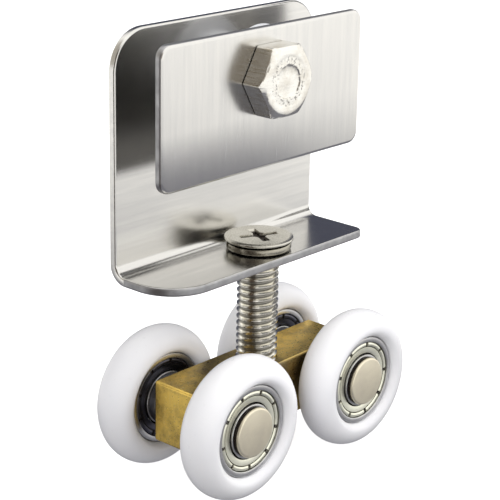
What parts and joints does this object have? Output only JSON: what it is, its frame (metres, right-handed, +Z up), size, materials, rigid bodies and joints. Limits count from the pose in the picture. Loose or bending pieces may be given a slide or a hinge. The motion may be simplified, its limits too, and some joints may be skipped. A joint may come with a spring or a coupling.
{
  "type": "sliding door roller",
  "caption": "Roller carriage for a glass sliding door: nylon wheels on a brass block, with a screw that raises a bent bracket and a bolted clamp plate.",
  "frame": {"origin": "on the adjusting screw's axis, at the level where the wheels stand, which is the centre of the bounding box's underside", "axes": "+Z up along the adjusting screw, +X along the track, +Y from the clamp bolt's head towards the upright plate"},
  "size_m": [0.0447, 0.0221, 0.0639],
  "materials": {
    "sheet_steel": "brushed stainless sheet, grain upright on the clamp plate",
    "bolt_steel": "bright stainless fastener",
    "screw_steel": "bright nickel plated fastener with a warm tint",
    "pin_steel": "dull turned pin end with a warm tint",
    "ring_steel": "ground bearing steel",
    "shield_steel": "pressed shield, slightly green cream reflection",
    "ball_steel": "polished ball steel",
    "brass": "sawn and milled brass with fine marks",
    "nylon": "smooth white nylon"
  },
  "bodies": {
    "carriage": {"carriage_block": "brass", "axle_left": "pin_steel", "axle_right": "pin_steel", "front_left_inner_ring": "ring_steel", "front_right_inner_ring": "ring_steel", "rear_left_inner_ring": "ring_steel", "rear_right_inner_ring": "ring_steel", "front_left_spacer": "ring_steel", "front_right_spacer": "ring_steel", "rear_left_spacer": "ring_steel", "rear_right_spacer": "ring_steel"},
    "riser": {"spring_washer": "screw_steel"},
    "screw": {"adjusting_screw": "screw_steel"},
    "bracket": {"bracket": "sheet_steel", "clamp_nut": "bolt_steel"},
    "clamp": {"clamp_plate": "sheet_steel", "clamp_bush": "nylon"},
    "bolt": {"clamp_bolt": "bolt_steel"},
    "wheel_front_left": {"front_left_tyre": "nylon", "front_left_outer_ring": "ring_steel", "front_left_outer_shield": "shield_steel", "front_left_inner_shield": "shield_steel"},
    "cage_front_left": {"front_left_ball_cage": "ball_steel"},
    "wheel_front_right": {"front_right_tyre": "nylon", "front_right_outer_ring": "ring_steel", "front_right_outer_shield": "shield_steel", "front_right_inner_shield": "shield_steel"},
    "cage_front_right": {"front_right_ball_cage": "ball_steel"},
    "wheel_rear_left": {"rear_left_tyre": "nylon", "rear_left_outer_ring": "ring_steel", "rear_left_outer_shield": "shield_steel", "rear_left_inner_shield": "shield_steel"},
    "cage_rear_left": {"rear_left_ball_cage": "ball_steel"},
    "wheel_rear_right": {"rear_right_tyre": "nylon", "rear_right_outer_ring": "ring_steel", "rear_right_outer_shield": "shield_steel", "rear_right_inner_shield": "shield_steel"},
    "cage_rear_right": {"rear_right_ball_cage": "ball_steel"}
  },
  "joints": [
    {"name": "height_adjust", "type": "slide", "parent": "carriage", "child": "riser", "axis": [0, 0, 1], "range_m": [-0.006, 0.003]},
    {"name": "screw_turn", "type": "hinge", "parent": "riser", "child": "screw", "pos_m": [0, 0, 0.03], "axis": [0, 0, 1], "range_deg": [-2170, 1090]},
    {"name": "bracket_swivel", "type": "hinge", "parent": "riser", "child": "bracket", "pos_m": [0, 0, 0.03], "axis": [0, 0, 1], "continuous": true},
    {"name": "clamp_open", "type": "slide", "parent": "bracket", "child": "clamp", "axis": [0, -1, 0], "range_m": [0, 0.002]},
    {"name": "bolt_turn", "type": "hinge", "parent": "clamp", "child": "bolt", "pos_m": [0, 0, 0.0556], "axis": [0, -1, 0], "range_deg": [0, 725]},
    {"name": "roll_front_left", "type": "hinge", "parent": "carriage", "child": "wheel_front_left", "pos_m": [-0.01215, -0.00805, 0.0102], "axis": [0, 1, 0], "continuous": true},
    {"name": "cage_front_left", "type": "hinge", "parent": "carriage", "child": "cage_front_left", "pos_m": [-0.01215, -0.00805, 0.0102], "axis": [0, 1, 0], "continuous": true},
    {"name": "roll_front_right", "type": "hinge", "parent": "carriage", "child": "wheel_front_right", "pos_m": [0.01215, -0.00805, 0.0102], "axis": [0, 1, 0], "continuous": true},
    {"name": "cage_front_right", "type": "hinge", "parent": "carriage", "child": "cage_front_right", "pos_m": [0.01215, -0.00805, 0.0102], "axis": [0, 1, 0], "continuous": true},
    {"name": "roll_rear_left", "type": "hinge", "parent": "carriage", "child": "wheel_rear_left", "pos_m": [-0.01215, 0.00805, 0.0102], "axis": [0, 1, 0], "continuous": true},
    {"name": "cage_rear_left", "type": "hinge", "parent": "carriage", "child": "cage_rear_left", "pos_m": [-0.01215, 0.00805, 0.0102], "axis": [0, 1, 0], "continuous": true},
    {"name": "roll_rear_right", "type": "hinge", "parent": "carriage", "child": "wheel_rear_right", "pos_m": [0.01215, 0.00805, 0.0102], "axis": [0, 1, 0], "continuous": true},
    {"name": "cage_rear_right", "type": "hinge", "parent": "carriage", "child": "cage_rear_right", "pos_m": [0.01215, 0.00805, 0.0102], "axis": [0, 1, 0], "continuous": true}
  ],
  "couplings": [
    {"joint": "screw_turn", "follows": "height_adjust", "rad_per_m": 6283.2},
    {"joint": "bolt_turn", "follows": "clamp_open", "rad_per_m": 6283.2},
    {"joint": "cage_front_left", "follows": "roll_front_left", "ratio": 0.6146},
    {"joint": "cage_front_right", "follows": "roll_front_right", "ratio": 0.6146},
    {"joint": "cage_rear_left", "follows": "roll_rear_left", "ratio": 0.6146},
    {"joint": "cage_rear_right", "follows": "roll_rear_right", "ratio": 0.6146}
  ]
}
